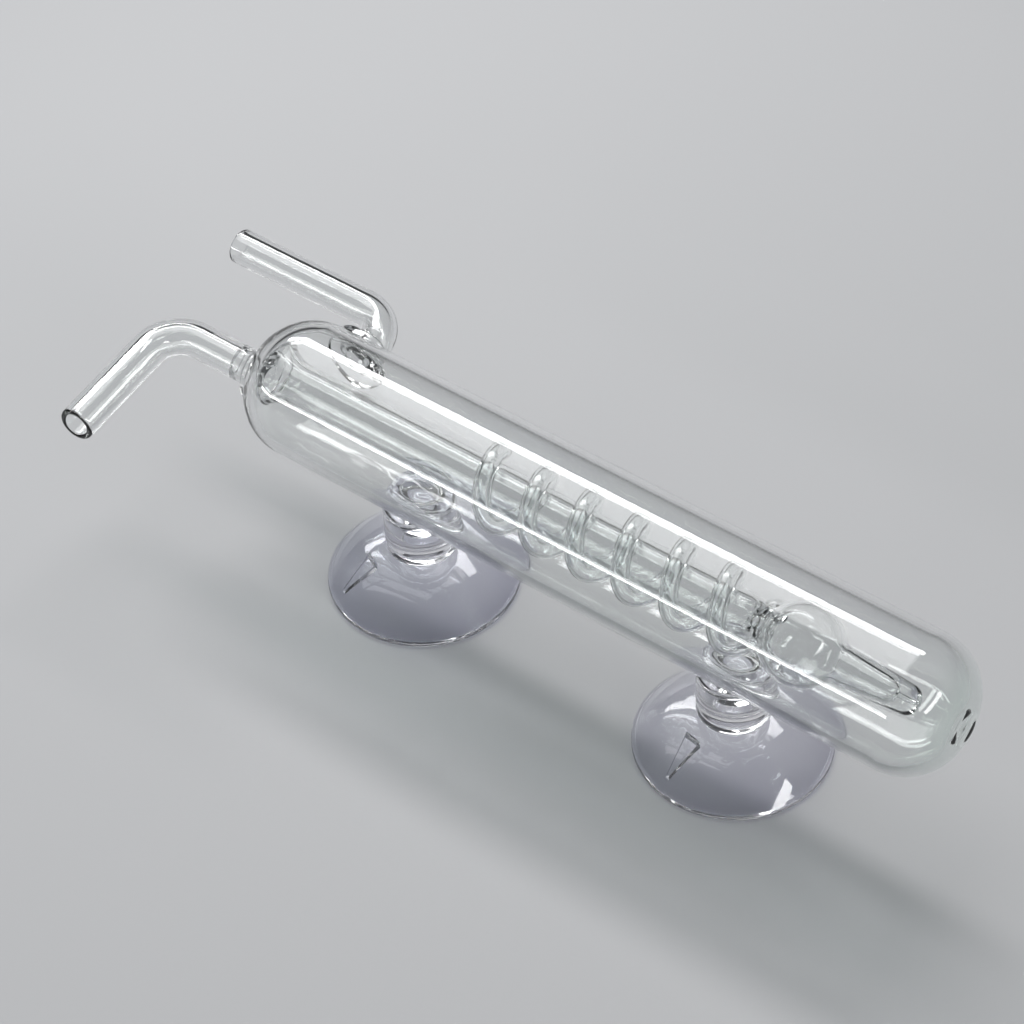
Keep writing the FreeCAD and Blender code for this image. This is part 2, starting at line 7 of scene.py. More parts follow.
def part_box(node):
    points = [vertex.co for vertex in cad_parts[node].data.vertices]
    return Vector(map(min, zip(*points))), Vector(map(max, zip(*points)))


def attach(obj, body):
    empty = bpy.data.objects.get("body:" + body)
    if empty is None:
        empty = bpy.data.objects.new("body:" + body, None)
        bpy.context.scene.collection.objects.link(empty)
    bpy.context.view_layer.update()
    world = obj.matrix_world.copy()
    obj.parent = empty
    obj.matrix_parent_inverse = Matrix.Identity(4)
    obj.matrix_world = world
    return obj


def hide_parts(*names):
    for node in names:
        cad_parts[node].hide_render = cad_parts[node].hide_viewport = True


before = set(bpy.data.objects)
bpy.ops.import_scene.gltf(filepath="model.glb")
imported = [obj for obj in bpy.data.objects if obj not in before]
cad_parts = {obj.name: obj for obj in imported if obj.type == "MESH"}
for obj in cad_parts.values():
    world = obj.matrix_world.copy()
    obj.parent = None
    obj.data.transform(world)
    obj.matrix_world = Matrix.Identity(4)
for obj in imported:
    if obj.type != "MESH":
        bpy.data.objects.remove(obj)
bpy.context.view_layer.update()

# Sizes below are in millimetres. Lengths along the big tube are measured from halfway between
# the two cups, as a maker would lay it out on the bench, and "out" is the distance from an axis.
mm = 0.001
airGap = 0.02  # between fused pieces, so that no two faces of glass lie on each other

chamberLow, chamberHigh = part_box("outer_chamber")
portCupLow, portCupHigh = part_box("port_end_suction_cup")
nozzleCupLow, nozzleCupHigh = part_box("nozzle_end_suction_cup")
benchX = (portCupLow.x + portCupHigh.x + nozzleCupLow.x + nozzleCupHigh.x) / 4
axisY = (chamberLow.y + chamberHigh.y) / 2
axisZ = (chamberLow.z + chamberHigh.z) / 2
tubeAxis = Vector((benchX, axisY, axisZ))
xWay, yWay, zWay = Vector((1, 0, 0)), Vector((0, 1, 0)), Vector((0, 0, 1))


def metres(*point):
    return Vector(point) * mm


# camera, light and floor
stand = {
    "place": (234.88, -296.27, 430.54),
    "right": (0.79957, 0.59968, -0.03280),
    "up": (-0.41615, 0.59259, 0.68968),
    "back": (0.43303, -0.53780, 0.72337),
    "lens": 113.77,
    "sensor": 36.0,
}

cameraData = bpy.data.cameras.new("camera")
cameraData.lens = stand["lens"]
cameraData.sensor_width = stand["sensor"]
cameraData.clip_start = 0.02
cameraData.clip_end = 20
camera = bpy.data.objects.new("camera", cameraData)
turn = Matrix([stand["right"], stand["up"], stand["back"]]).transposed().to_4x4()
camera.matrix_world = Matrix.Translation(metres(*stand["place"])) @ turn
bpy.context.scene.collection.objects.link(camera)
bpy.context.scene.camera = camera

lamps = [
    # name, way to it from the object, distance in metres, length along the tube, width, brightness
    ("backSoftbox", (-0.433, 0.538, 0.723), 0.85, 0.90, 0.11, 22.0),
    ("broadSoftbox", (-0.433, 0.20, 0.88), 1.00, 0.90, 0.75, 2.6),
    ("frontStrip", (-0.433, -0.870, 0.233), 0.70, 0.80, 0.035, 30.0),
    ("endStrip", (0.90, -0.10, 0.42), 0.70, 0.08, 0.40, 14.0),
]
for lampName, way, distance, length, width, brightness in lamps:
    lampData = bpy.data.lights.new(lampName, "AREA")
    lampData.shape = "RECTANGLE"
    lampData.size, lampData.size_y = length, width
    lampData.energy = brightness * pi * length * width
    lamp = bpy.data.objects.new(lampName, lampData)
    away = Vector(way).normalized()
    lengthWay = (xWay - away * xWay.dot(away)).normalized()
    lamp.matrix_world = Matrix.Translation(away * distance + metres(0, 0, 30)) @ Matrix(
        (lengthWay, away.cross(lengthWay), away)).transposed().to_4x4()
    bpy.context.scene.collection.objects.link(lamp)

world = bpy.data.worlds.new("studio")
bpy.context.scene.world = world
world.use_nodes = True
worldNodes, worldLinks = world.node_tree.nodes, world.node_tree.links
worldNodes.clear()
worldOut = worldNodes.new("ShaderNodeOutputWorld")
worldShade = worldNodes.new("ShaderNodeBackground")
worldShade.inputs["Color"].default_value = (0.030, 0.031, 0.034, 1)
worldShade.inputs["Strength"].default_value = 1.0
worldLinks.new(worldShade.outputs[0], worldOut.inputs[0])

cycles = bpy.context.scene.cycles
cycles.max_bounces = 24
cycles.transmission_bounces = 24
cycles.transparent_max_bounces = 40
cycles.glossy_bounces = 8
cycles.caustics_reflective = False
cycles.caustics_refractive = False
bpy.context.scene.view_settings.view_transform = "Standard"
print("camera, lamps and world are set")


# node groups shared by the materials
def newGroup(name, inputs, outputs):
    group = bpy.data.node_groups.new(name, "ShaderNodeTree")
    for label, kind, value in inputs:
        socket = group.interface.new_socket(label, in_out="INPUT", socket_type=kind)
        if value is not None:
            socket.default_value = value
    for label, kind in outputs:
        group.interface.new_socket(label, in_out="OUTPUT", socket_type=kind)
    return group, group.nodes.new("NodeGroupInput"), group.nodes.new("NodeGroupOutput")


def mathNode(tree, operation, first, second=None):
    node = tree.nodes.new("ShaderNodeMath")
    node.operation = operation
    for socket, value in zip(node.inputs, (first, second)):
        if isinstance(value, bpy.types.NodeSocket):
            tree.links.new(value, socket)
        elif value is not None:
            socket.default_value = value
    return node.outputs[0]


def noiseNode(tree, vector, scale, detail=3.0, roughness=0.5):
    node = tree.nodes.new("ShaderNodeTexNoise")
    tree.links.new(vector, node.inputs["Vector"])
    for name, value in (("Scale", scale), ("Detail", detail), ("Roughness", roughness)):
        if isinstance(value, bpy.types.NodeSocket):
            tree.links.new(value, node.inputs[name])
        else:
            node.inputs[name].default_value = value
    return node.outputs["Fac"]


def spread(tree, value, low, high, toLow, toHigh):
    node = tree.nodes.new("ShaderNodeMapRange")
    node.interpolation_type = "SMOOTHSTEP"
    tree.links.new(value, node.inputs["Value"])
    for name, number in (("From Min", low), ("From Max", high), ("To Min", toLow), ("To Max", toHigh)):
        if isinstance(number, bpy.types.NodeSocket):
            tree.links.new(number, node.inputs[name])
        else:
            node.inputs[name].default_value = number
    return node.outputs["Result"]


def makeRippleGroup():
    # height of fire-worked glass: slow waves, finer ones and the fine lines left by drawing the tube
    tree, given, out = newGroup("workedRipple", [
        ("Vector", "NodeSocketVector", None),
        ("Wave Scale", "NodeSocketFloat", 90.0),
        ("Draw Scale", "NodeSocketFloat", 900.0),
        ("Draw Share", "NodeSocketFloat", 0.2),
    ], [("Height", "NodeSocketFloat")])
    waves = noiseNode(tree, given.outputs["Vector"], given.outputs["Wave Scale"], 2.0, 0.45)
    lengthwise = tree.nodes.new("ShaderNodeMapping")
    lengthwise.inputs["Scale"].default_value = (0.02, 1, 1)
    tree.links.new(given.outputs["Vector"], lengthwise.inputs["Vector"])
    lines = noiseNode(tree, lengthwise.outputs[0], given.outputs["Draw Scale"], 2.0, 0.5)
    lines = mathNode(tree, "MULTIPLY", lines, given.outputs["Draw Share"])
    tree.links.new(mathNode(tree, "ADD", waves, lines), out.inputs["Height"])
    return tree


def makeHandledGroup():
    # where fingers, dust and dried water dull a clear surface
    tree, given, out = newGroup("handledFilm", [
        ("Vector", "NodeSocketVector", None),
        ("Clean", "NodeSocketFloat", 0.01),
        ("Smudged", "NodeSocketFloat", 0.08),
        ("Smudge Scale", "NodeSocketFloat", 60.0),
        ("Speck Scale", "NodeSocketFloat", 900.0),
    ], [("Roughness", "NodeSocketFloat"), ("Film", "NodeSocketFloat")])
    patches = noiseNode(tree, given.outputs["Vector"], given.outputs["Smudge Scale"], 5.0, 0.6)
    film = spread(tree, patches, 0.52, 0.78, 0.0, 1.0)
    specks = tree.nodes.new("ShaderNodeTexVoronoi")
    tree.links.new(given.outputs["Vector"], specks.inputs["Vector"])
    tree.links.new(given.outputs["Speck Scale"], specks.inputs["Scale"])
    dots = spread(tree, specks.outputs["Distance"], 0.05, 0.14, 1.0, 0.0)
    both = mathNode(tree, "MAXIMUM", film, mathNode(tree, "MULTIPLY", dots, 0.6))
    rough = spread(tree, both, 0.0, 1.0, given.outputs["Clean"], given.outputs["Smudged"])
    tree.links.new(rough, out.inputs["Roughness"])
    tree.links.new(both, out.inputs["Film"])
    return tree


def makeToneGroup():
    # colour that drifts between two tones, as glass and soft plastic do with their thickness
    tree, given, out = newGroup("driftingTone", [
        ("Vector", "NodeSocketVector", None),
        ("First", "NodeSocketColor", (1, 1, 1, 1)),
        ("Second", "NodeSocketColor", (1, 1, 1, 1)),
        ("Scale", "NodeSocketFloat", 40.0),
    ], [("Color", "NodeSocketColor")])
    drift = noiseNode(tree, given.outputs["Vector"], given.outputs["Scale"], 2.0, 0.5)
    blend = tree.nodes.new("ShaderNodeMix")
    blend.data_type = "RGBA"
    tree.links.new(spread(tree, drift, 0.3, 0.7, 0.0, 1.0), blend.inputs["Factor"])
    tree.links.new(given.outputs["First"], blend.inputs["A"])
    tree.links.new(given.outputs["Second"], blend.inputs["B"])
    tree.links.new(blend.outputs["Result"], out.inputs["Color"])
    return tree


rippleGroup, handledGroup, toneGroup = makeRippleGroup(), makeHandledGroup(), makeToneGroup()


def useGroup(tree, group, vector, **values):
    node = tree.nodes.new("ShaderNodeGroup")
    node.node_tree = group
    tree.links.new(vector, node.inputs["Vector"])
    for name, value in values.items():
        node.inputs[name.replace("_", " ")].default_value = value
    return node


# clear materials
def clearMaterial(name, look):
    material = bpy.data.materials.new(name)
    material.use_nodes = True
    tree = material.node_tree
    nodes, links = tree.nodes, tree.links
    nodes.clear()
    out = nodes.new("ShaderNodeOutputMaterial")
    coordinates = nodes.new("ShaderNodeTexCoord").outputs["Object"]
    tone = useGroup(tree, toneGroup, coordinates, First=look["tone"], Second=look["deepTone"],
                    Scale=look["toneScale"]).outputs["Color"]
    if "endTone" in look:  # the gathered end is thicker and shows its colour
        split = nodes.new("ShaderNodeSeparateXYZ")
        links.new(coordinates, split.inputs[0])
        share = spread(tree, split.outputs["X"], look["endFrom"], look["endTo"], 0.0, 1.0)
        blend = nodes.new("ShaderNodeMix")
        blend.data_type = "RGBA"
        links.new(share, blend.inputs["Factor"])
        links.new(tone, blend.inputs["A"])
        blend.inputs["B"].default_value = look["endTone"]
        tone = blend.outputs["Result"]
    film = useGroup(tree, handledGroup, coordinates, Clean=look["clean"], Smudged=look["smudged"],
                    Smudge_Scale=look["smudgeScale"], Speck_Scale=look["speckScale"])
    ripple = useGroup(tree, rippleGroup, coordinates, Wave_Scale=look["waveScale"],
                      Draw_Scale=look["drawScale"], Draw_Share=look["drawShare"])
    bump = nodes.new("ShaderNodeBump")
    bump.inputs["Strength"].default_value = look["bump"]
    bump.inputs["Distance"].default_value = look["bumpDepth"] * mm
    links.new(ripple.outputs["Height"], bump.inputs["Height"])

    shade = nodes.new("ShaderNodeBsdfPrincipled")
    shade.inputs["Metallic"].default_value = 0.0
    shade.inputs["Transmission Weight"].default_value = 1.0
    shade.inputs["IOR"].default_value = look["ior"]
    links.new(tone, shade.inputs["Base Color"])
    links.new(film.outputs["Roughness"], shade.inputs["Roughness"])
    links.new(bump.outputs["Normal"], shade.inputs["Normal"])

    # rays on their way to a lamp go straight through, less so where the surface turns edge-on
    through = nodes.new("ShaderNodeBsdfTransparent")
    facing = nodes.new("ShaderNodeLayerWeight")
    facing.inputs["Blend"].default_value = 0.35
    pale = nodes.new("ShaderNodeMix")
    pale.data_type = "RGBA"
    links.new(facing.outputs["Facing"], pale.inputs["Factor"])
    pale.inputs["A"].default_value = look["shadowFace"]
    pale.inputs["B"].default_value = look["shadowEdge"]
    links.new(pale.outputs["Result"], through.inputs["Color"])
    path = nodes.new("ShaderNodeLightPath")
    mix = nodes.new("ShaderNodeMixShader")
    links.new(path.outputs["Is Shadow Ray"], mix.inputs[0])
    links.new(shade.outputs[0], mix.inputs[1])
    links.new(through.outputs[0], mix.inputs[2])
    links.new(mix.outputs[0], out.inputs["Surface"])
    return material


glassLook = {
    "tone": (0.985, 0.992, 0.990, 1),
    "deepTone": (0.972, 0.986, 0.982, 1),
    "toneScale": 25.0,
    "clean": 0.0,
    "smudged": 0.06,
    "smudgeScale": 55.0,
    "speckScale": 420.0,
    "waveScale": 70.0,
    "drawScale": 900.0,
    "drawShare": 0.06,
    "bump": 0.10,
    "bumpDepth": 0.10,
    "ior": 1.473,
    "shadowFace": (0.95, 0.96, 0.96, 1),
    "shadowEdge": (0.45, 0.48, 0.48, 1),
}
chamberLook = dict(glassLook, endTone=(0.93, 0.982, 0.955, 1),
                   endFrom=chamberHigh.x - 8 * mm, endTo=chamberHigh.x - 1 * mm)
weldLook = dict(glassLook, waveScale=260.0, bump=0.6, bumpDepth=0.4, drawShare=0.0)
workedLook = dict(glassLook, waveScale=160.0, bump=0.4, bumpDepth=0.2, drawShare=0.05)
cupLook = {
    "tone": (0.992, 0.992, 0.997, 1),
    "deepTone": (0.983, 0.984, 0.994, 1),
    "toneScale": 60.0,
    "clean": 0.04,
    "smudged": 0.22,
    "smudgeScale": 120.0,
    "speckScale": 700.0,
    "waveScale": 120.0,
    "drawScale": 300.0,
    "drawShare": 0.1,
    "bump": 0.35,
    "bumpDepth": 0.25,
    "ior": 1.52,
    "shadowFace": (0.90, 0.90, 0.94, 1),
    "shadowEdge": (0.55, 0.55, 0.62, 1),
}
blueCupLook = dict(cupLook, tone=(0.974, 0.977, 0.998, 1), deepTone=(0.955, 0.960, 0.995, 1))

chamberGlass = clearMaterial("chamberGlass", chamberLook)
tubeGlass = clearMaterial("tubeGlass", dict(glassLook, drawShare=0.0))
workedGlass = clearMaterial("workedGlass", workedLook)
weldGlass = clearMaterial("weldGlass", weldLook)
cupPlastic = clearMaterial("cupPlastic", cupLook)
blueCupPlastic = clearMaterial("blueCupPlastic", blueCupLook)
print("materials are made")


# turning and joining helpers
def arcPoints(start, end, radius, side, step):
    # side 1 bulges to the left of the way from start to end, -1 to the right
    chord = end - start
    half = chord.length / 2
    left = Vector((-chord.y, chord.x)).normalized()
    centre = (start + end) / 2 - left * side * sqrt(max(radius ** 2 - half ** 2, 0))
    sweep = 2 * asin(min(1, half / radius))
    first = atan2(start.y - centre.y, start.x - centre.x)
    count = max(2, ceil(sweep * radius / step))
    angles = [first - side * sweep * index / count for index in range(1, count)]
    return [centre + Vector((cos(angle), sin(angle))) * radius for angle in angles]


def outline(corners, step=0.35, longStep=2.0, ease=0.12, closed=True):
    # corners are (along, out) or (along, out, radius, side) when an arc runs to the next corner
    points = []
    following = corners[1:] + corners[:1] if closed else corners[1:]
    for corner, nextCorner in zip(corners, following):
        start, end = Vector(corner[:2]), Vector(nextCorner[:2])
        points.append(start)
        if len(corner) > 2:
            points += arcPoints(start, end, corner[2], corner[3], step)
        else:
            count = max(1, round((end - start).length / longStep))
            points += [start.lerp(end, index / count) for index in range(1, count)]
    if not closed:
        points.append(Vector(corners[-1][:2]))
    return soften(points, ease, closed)


def soften(points, ease, closed):
    # fire-polishes every sharp corner with a small curve
    made = []
    for index, point in enumerate(points):
        if not closed and index in (0, len(points) - 1):
            made.append(point)
            continue
        before, after = points[index - 1], points[(index + 1) % len(points)]
        into, away = point - before, after - point
        if point.y < 1e-6 or into.angle(away) < radians(20):
            made.append(point)
            continue
        reach = min(ease, into.length * 0.45, away.length * 0.45)
        start, end = point - into.normalized() * reach, point + away.normalized() * reach
        for share in (0, 0.25, 0.5, 0.75, 1):
            made.append(start.lerp(point, share).lerp(point.lerp(end, share), share))
    return made


def turnedMesh(name, points, sides, closed):
    # turns an outline about Z: going up the outside puts the faces outwards
    vertices, faces, rings = [], [], []
    for point in points:
        if point.y < 1e-6:
            rings.append([len(vertices)])
            vertices.append((0, 0, point.x * mm))
            continue
        rings.append(list(range(len(vertices), len(vertices) + sides)))
        for side in range(sides):
            angle = 2 * pi * side / sides
            vertices.append((point.y * cos(angle) * mm, point.y * sin(angle) * mm, point.x * mm))
    following = rings[1:] + rings[:1] if closed else rings[1:]
    for low, high in zip(rings, following):
        if len(low) == 1 and len(high) == 1:
            continue
        for side in range(sides):
            beside = (side + 1) % sides
            if len(low) == 1:
                faces.append((low[0], high[beside], high[side]))
            elif len(high) == 1:
                faces.append((low[side], low[beside], high[0]))
            else:
                faces.append((low[side], low[beside], high[beside], high[side]))
    mesh = bpy.data.meshes.new(name)
    mesh.from_pydata(vertices, [], faces)
    return mesh


def joinedMesh(name, meshes):
    vertices, faces = [], []
    for mesh in meshes:
        shift = len(vertices)
        vertices += [vertex.co.copy() for vertex in mesh.vertices]
        faces += [tuple(index + shift for index in face.vertices) for face in mesh.polygons]
    joined = bpy.data.meshes.new(name)
    joined.from_pydata(vertices, [], faces)
    return joined


def smooth(mesh, angle=32):
    mesh.shade_smooth()
    mesh.set_sharp_from_angle(angle=radians(angle))


def newPiece(name, mesh, material):
    piece = bpy.data.objects.new(name, mesh)
    bpy.context.scene.collection.objects.link(piece)
    mesh.materials.clear()
    mesh.materials.append(material)
    return piece


def finishPiece(piece, nodes, body):
    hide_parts(*([nodes] if isinstance(nodes, str) else nodes))
    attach(piece, body)


alongTube = Matrix.Translation(tubeAxis) @ Matrix.Rotation(pi / 2, 4, "Y")


def turnedOnTube(name, corners, material, sides=128, closed=True, **how):
    # turned about the big tube's axis
    mesh = turnedMesh(name, outline(corners, closed=closed, **how), sides, closed)
    mesh.transform(alongTube)
    smooth(mesh)
    return newPiece(name, mesh, material)


def bakedMesh(piece):
    # the mesh as its modifiers leave it
    bpy.context.view_layer.update()
    seen = piece.evaluated_get(bpy.context.evaluated_depsgraph_get())
    mesh = bpy.data.meshes.new_from_object(seen)
    for modifier in list(piece.modifiers):
        piece.modifiers.remove(modifier)
    piece.data = mesh
    return mesh


def carve(piece, tool, operation="DIFFERENCE"):
    step = piece.modifiers.new("carve", "BOOLEAN")
    step.operation = operation
    step.solver = "EXACT"
    step.object = tool
    mesh = bakedMesh(piece)
    bpy.data.objects.remove(tool)
    smooth(mesh)


def copyOfNode(name, node, material, angle=35):
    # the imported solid, joined up and smoothed, pulled in by half the air gap
    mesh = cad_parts[node].data.copy()
    mesh.name = name
    piece = newPiece(name, mesh, material)
    weld = piece.modifiers.new("join", "WELD")
    weld.merge_threshold = 0.002 * mm
    mesh = bakedMesh(piece)
    mesh.materials.clear()
    mesh.materials.append(material)
    smooth(mesh, angle)
    normals = [vertex.normal.copy() for vertex in mesh.vertices]
    for vertex, normal in zip(mesh.vertices, normals):
        vertex.co -= normal * airGap / 2 * mm
    return piece


# big tube
chamber = {
    "radius": 12.5,
    "wall": 1.5,
    "shoulder": -56.9,
    "portEnd": -68.0,
    "portThick": 2.0,
    "domeFrom": 67.4,
    "domeEnd": 77.8,
    "domeArc": 10.5,
    "disc": 3.5,
    "rimBack": 0.45,
    "rimOut": 0.7,
    "rimArc": 1.8,
    "dishBack": 0.30,
    "dishIn": 0.9,
    "dishArc": 6.0,
    "dimple": 0.5,
    "domeThick": 2.2,
}
tail = {
    "radius": 3.3,
    "bore": 2.2,
    "lip": 0.45,
    "endForward": 1.0,
    "endDrop": 0.8,
    "endStub": 16.0,
    "endBend": 6.3,
    "endAngle": 96.0,
    "endLeg": 22.1,
    "sideFoot": -55.2,
    "sideReach": 22.3,
    "sideBend": 7.6,
    "sideLeg": 29.3,
    "sideSwell": 4.1,
    "swellLength": 2.6,
    "swellArc": 4.0,
    "endDrill": (-6, 8),
    "sideDrill": (-4, 6),
    "uneven": 0.05,
    "unevenScale": 90.0,
}

peg = {
    "end": 13.6,
    "round": 1.6,
}

insideOut = chamber["radius"] - chamber["wall"]
shoulderDepth = chamber["shoulder"] - chamber["portEnd"]
insideArc = shoulderDepth - chamber["portThick"]
portInside = chamber["portEnd"] + chamber["portThick"]
domeInside = chamber["domeEnd"] - chamber["domeThick"]
vessel = turnedOnTube("chamber", [
    (chamber["portEnd"], 0),
    (chamber["portEnd"], chamber["radius"] - shoulderDepth, shoulderDepth, 1),
    (chamber["shoulder"], chamber["radius"]),
    (chamber["domeFrom"], chamber["radius"], chamber["domeArc"], 1),
    (chamber["domeEnd"] - chamber["rimBack"], chamber["disc"] + chamber["rimOut"], chamber["rimArc"], 1),
    (chamber["domeEnd"] - chamber["dishBack"], chamber["disc"] - chamber["dishIn"], chamber["dishArc"], -1),
    (chamber["domeEnd"] - chamber["dimple"], 0),
], chamberGlass, sides=160, closed=False, longStep=1.0)
cavity = turnedOnTube("chamberInside", [
    (domeInside, 0),
    (domeInside, chamber["disc"] - chamber["wall"], chamber["domeArc"] - chamber["wall"], -1),
    (chamber["domeFrom"], insideOut),
    (chamber["shoulder"], insideOut, insideArc, -1),
    (portInside, insideOut - insideArc),
    (portInside, 0),
], chamberGlass, sides=160, closed=False, longStep=1.0)

# both skins become one mesh, then the two hose tails are drilled through the wall
skins = joinedMesh("chamber", [vessel.data, cavity.data])
skins.materials.append(chamberGlass)
bpy.data.objects.remove(cavity)
vessel.data = skins
smooth(skins)
endAxis = tubeAxis + metres(0, -tail["endForward"], -tail["endDrop"])
sideFoot = tubeAxis + metres(tail["sideFoot"], 0, 0)
bottom = tubeAxis - metres(0, 0, chamber["radius"])
portPegTop = Vector(((portCupLow.x + portCupHigh.x) / 2, bottom.y, bottom.z))
nozzlePegTop = Vector(((nozzleCupLow.x + nozzleCupHigh.x) / 2, bottom.y, bottom.z))
endFoot = endAxis + metres(chamber["portEnd"], 0, 0)
endWay = Matrix.Translation(endFoot) @ Matrix.Rotation(-pi / 2, 4, "Y")
sideSkin = sideFoot + metres(0, chamber["radius"], 0)
sideWay = Matrix.Translation(sideSkin) @ Matrix.Rotation(-pi / 2, 4, "X")
flip = Matrix.Rotation(pi, 4, "X")
pegLength = bottom.z / mm - peg["end"]
flares = [
    # way out of the tube, foot, sink into the wall, reach, radius there, length, hollow, rounding of its end
    (endWay, 5.4, 1.6, 3.4, tail["radius"], 4.2, 4.0, 0.02),
    (sideWay, 6.3, 1.8, 1.7, tail["sideSwell"], 1.9, 3.2, 0.02),
    (Matrix.Translation(portPegTop) @ flip, 5.0, 1.25, 1.6, tail["radius"], pegLength, 2.4, peg["round"]),
    (Matrix.Translation(nozzlePegTop) @ flip, 5.0, 1.25, 1.6, tail["radius"], pegLength, 2.4, peg["round"]),
]
flareMeshes = []
for way, foot, sink, reach, tip, length, hollow, rounding in flares:
    flare = turnedMesh("flare", outline([
        (-sink, 0),
        (-sink, foot),
        (0, foot, hollow, -1),
        (reach, tip),
        (length - rounding, tip, rounding, 1),
        (length, tip - rounding),
        (length, 0),
    ], closed=False, step=0.25, longStep=0.6, ease=0.05), 64, False)
    flare.transform(way)
    flareMeshes.append(flare)
carve(vessel, newPiece("flares", joinedMesh("flares", flareMeshes), chamberGlass), "UNION")
drills = []
for way, (low, high) in ((endWay, tail["endDrill"]), (sideWay, tail["sideDrill"])):
    profile = [Vector(corner) for corner in ((low, 0), (low, tail["bore"]), (high, tail["bore"]), (high, 0))]
    drill = turnedMesh("drill", profile, 64, False)
    drill.transform(way)
    drills.append(drill)
carve(vessel, newPiece("drills", joinedMesh("drills", drills), chamberGlass))
smooth(vessel.data, 55)
# the flame leaves the glass round each weld a little wavy
flame = {
    "reach": 8,
    "fade": 4,
    "fineness": 0.55,
    "height": 0.16,
}
weldSpots = [flare[0].translation for flare in flares]
for vertex in vessel.data.vertices:
    near = min((vertex.co - spot).length for spot in weldSpots) / mm
    if near < flame["reach"] and vertex.co.z > bottom.z - 1 * mm:
        wave = noise.noise(vertex.co / mm * flame["fineness"]) * flame["height"]
        wave *= min(1, (flame["reach"] - near) / flame["fade"])
        vertex.co += vertex.normal * wave * mm
finishPiece(vessel, ("outer_chamber", "end_port_weld", "side_port_weld", "port_end_peg_weld",
                     "nozzle_end_peg_weld", "port_end_peg", "nozzle_end_peg"), "glass")
print("big tube is turned and drilled")


# tube bent along a route
def bendTree():
    # lays a straight blank, which stands on Z, along a route's curve
    tree = bpy.data.node_groups.new("bendAlongRoute", "GeometryNodeTree")
    face = tree.interface
    face.new_socket("Geometry", in_out="INPUT", socket_type="NodeSocketGeometry")
    face.new_socket("Route", in_out="INPUT", socket_type="NodeSocketObject")
    face.new_socket("Uneven", in_out="INPUT", socket_type="NodeSocketFloat")
    face.new_socket("Uneven Scale", in_out="INPUT", socket_type="NodeSocketFloat")
    face.new_socket("Seed", in_out="INPUT", socket_type="NodeSocketFloat")
    face.new_socket("Material", in_out="INPUT", socket_type="NodeSocketMaterial")
    face.new_socket("Geometry", in_out="OUTPUT", socket_type="NodeSocketGeometry")
    nodes, links = tree.nodes, tree.links
    given, out = nodes.new("NodeGroupInput"), nodes.new("NodeGroupOutput")
    route = nodes.new("GeometryNodeObjectInfo")
    links.new(given.outputs["Route"], route.inputs["Object"])
    links.new(layOn(tree, given.outputs["Geometry"], route.outputs["Geometry"], given), out.inputs[0])
    return tree


def vectorNode(tree, operation, first, second=None, scale=None):
    node = tree.nodes.new("ShaderNodeVectorMath")
    node.operation = operation
    tree.links.new(first, node.inputs[0])
    if second is not None:
        tree.links.new(second, node.inputs[1])
    if scale is not None:
        tree.links.new(scale, node.inputs["Scale"])
    return node.outputs[0]


def layOn(tree, blank, curve, given):
    nodes, links = tree.nodes, tree.links
    spot = nodes.new("ShaderNodeSeparateXYZ")
    links.new(nodes.new("GeometryNodeInputPosition").outputs[0], spot.inputs[0])
    sample = nodes.new("GeometryNodeSampleCurve")
    sample.mode = "LENGTH"
    links.new(curve, sample.inputs["Curves"])
    links.new(spot.outputs["Z"], sample.inputs["Length"])
    across = vectorNode(tree, "CROSS_PRODUCT", sample.outputs["Tangent"], sample.outputs["Normal"])
    # the flame leaves the tube a little thicker and thinner along its length
    wander = nodes.new("ShaderNodeTexNoise")
    wander.noise_dimensions = "4D"
    links.new(sample.outputs["Position"], wander.inputs["Vector"])
    links.new(given.outputs["Seed"], wander.inputs["W"])
    links.new(given.outputs["Uneven Scale"], wander.inputs["Scale"])
    wander.inputs["Detail"].default_value = 1.0
    swell = mathNode(tree, "SUBTRACT", wander.outputs[0], 0.5)
    swell = mathNode(tree, "MULTIPLY", swell, given.outputs["Uneven"])
    swell = mathNode(tree, "ADD", swell, 1.0)
    outX = mathNode(tree, "MULTIPLY", spot.outputs["X"], swell)
    outY = mathNode(tree, "MULTIPLY", spot.outputs["Y"], swell)
    moved = vectorNode(tree, "ADD", sample.outputs["Position"],
                       vectorNode(tree, "SCALE", sample.outputs["Normal"], scale=outX))
    moved = vectorNode(tree, "ADD", moved, vectorNode(tree, "SCALE", across, scale=outY))
    lay = nodes.new("GeometryNodeSetPosition")
    links.new(blank, lay.inputs["Geometry"])
    links.new(moved, lay.inputs["Position"])
    real = nodes.new("GeometryNodeRealizeInstances")
    links.new(lay.outputs[0], real.inputs[0])
    paint = nodes.new("GeometryNodeSetMaterial")
    links.new(real.outputs[0], paint.inputs["Geometry"])
    links.new(given.outputs["Material"], paint.inputs["Material"])
    return paint.outputs[0]


def setInput(modifier, label, value):
    for item in modifier.node_group.interface.items_tree:
        if item.item_type == "SOCKET" and item.in_out == "INPUT" and item.name == label:
            modifier[item.identifier] = value


bentTree = bendTree()


